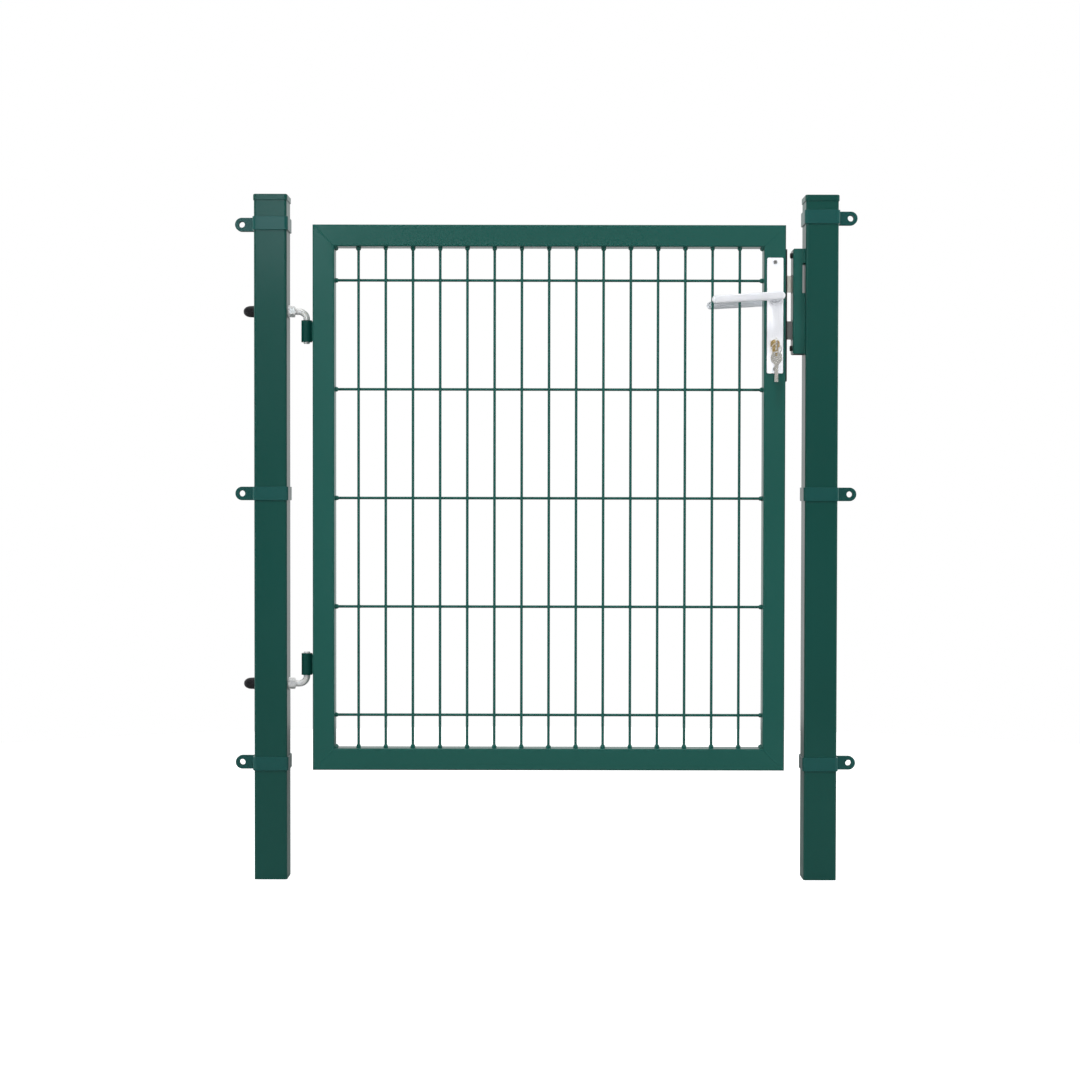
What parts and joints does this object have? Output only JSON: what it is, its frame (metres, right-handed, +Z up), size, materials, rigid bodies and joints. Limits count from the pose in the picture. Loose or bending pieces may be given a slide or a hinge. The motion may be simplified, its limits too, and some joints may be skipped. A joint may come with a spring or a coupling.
{
  "type": "garden gate set",
  "caption": "Welded-mesh garden gate leaf in a mitred tube frame, hung on bent hinge bolts between two square posts, with a lever lock, strike and post clamps.",
  "frame": {"origin": "on the ground at the posts' feet, midway between the two posts, on the leaf's middle plane", "axes": "+X from the hinge post to the latch post, +Y through the leaf from its front to its back, +Z up"},
  "size_m": [1.142, 0.14, 1.254],
  "materials": {
    "green_coating": "dark green powder coating, semi-gloss",
    "zinc_plating": "bright zinc plating",
    "lock_steel": "zinc-plated and stainless steel",
    "black_plastic": "moulded black plastic",
    "satin_aluminium": "satin anodised",
    "brass": "machined brass",
    "nickel_plating": "nickel plating"
  },
  "bodies": {
    "posts": {"hinge_post": "green_coating", "latch_post": "green_coating", "hinge_post_cap": "green_coating", "latch_post_cap": "green_coating", "hinge_clamp_low": "green_coating", "hinge_clamp_mid": "green_coating", "hinge_clamp_top": "green_coating", "latch_clamp_low": "green_coating", "latch_clamp_mid": "green_coating", "latch_clamp_top": "green_coating", "upper_hinge_bolt": "zinc_plating", "lower_hinge_bolt": "zinc_plating", "inner_hinge_nuts": "zinc_plating", "outer_hinge_nuts": "zinc_plating", "hinge_washers": "zinc_plating", "upper_nut_cover": "black_plastic", "lower_nut_cover": "black_plastic", "strike": "green_coating", "strike_screws": "lock_steel", "strike_rivet_nuts": "lock_steel"},
    "leaf": {"hinge_stile": "green_coating", "latch_stile": "green_coating", "top_rail": "green_coating", "bottom_rail": "green_coating", "upper_barrel": "green_coating", "lower_barrel": "green_coating", "upright_wires": "green_coating", "cross_wire_1": "green_coating", "cross_wire_2": "green_coating", "cross_wire_3": "green_coating", "cross_wire_4": "green_coating", "cross_wire_5": "green_coating", "lock_case": "lock_steel", "case_cover": "lock_steel", "case_rivets": "lock_steel", "forend": "lock_steel", "forend_screws": "lock_steel", "front_plate": "satin_aluminium", "rear_plate": "satin_aluminium", "plate_screws": "lock_steel", "plate_sleeves": "lock_steel", "front_bush": "satin_aluminium", "rear_bush": "satin_aluminium", "cylinder_body": "brass", "rear_plug": "brass", "cylinder_screw": "lock_steel", "latch_spring": "lock_steel"},
    "handles": {"front_lever": "satin_aluminium", "rear_lever": "satin_aluminium", "spindle": "lock_steel", "follower": "lock_steel", "lever_grub_screws": "lock_steel"},
    "latch": {"latch_bolt": "lock_steel"},
    "deadbolt": {"deadbolt": "lock_steel"},
    "plug": {"front_plug": "brass", "cam": "lock_steel"},
    "key": {"key": "nickel_plating"},
    "ring": {"key_ring": "nickel_plating"},
    "spare": {"spare_key": "nickel_plating"}
  },
  "joints": [
    {"name": "leaf_swing", "type": "hinge", "parent": "posts", "child": "leaf", "pos_m": [-0.44, 0, 0.7], "axis": [0, 0, 1], "range_deg": [-90, 90]},
    {"name": "handle_turn", "type": "hinge", "parent": "leaf", "child": "handles", "pos_m": [0.4185, 0, 1.067], "axis": [0, -1, 0], "range_deg": [0, 40], "stiffness_Nm_per_rad": 1.2, "springref_deg": -34.38},
    {"name": "latch_slide", "type": "slide", "parent": "leaf", "child": "latch", "axis": [-1, 0, 0], "range_m": [0, 0.0126], "deforming": ["latch_spring"]},
    {"name": "key_turn", "type": "hinge", "parent": "leaf", "child": "plug", "pos_m": [0.4185, 0, 0.982], "axis": [0, -1, 0], "range_deg": [0, 360]},
    {"name": "deadbolt_slide", "type": "slide", "parent": "leaf", "child": "deadbolt", "axis": [-1, 0, 0], "range_m": [0, 0.02]},
    {"name": "key_pull", "type": "slide", "parent": "plug", "child": "key", "axis": [0, -1, 0], "range_m": [0, 0.03]},
    {"name": "ring_swing", "type": "hinge", "parent": "key", "child": "ring", "pos_m": [0.4185, -0.048, 0.982], "axis": [0, -1, 0], "range_deg": [-30, 30]},
    {"name": "spare_key_swing", "type": "hinge", "parent": "ring", "child": "spare", "pos_m": [0.4185, -0.048, 0.962], "axis": [0.6428, 0.766, 0], "range_deg": [-25, 25]}
  ],
  "couplings": [
    {"joint": "latch_slide", "follows": "handle_turn", "m_per_rad": 0.0179},
    {"joint": "key_turn", "follows": "deadbolt_slide", "rad_per_m": 314.16}
  ]
}
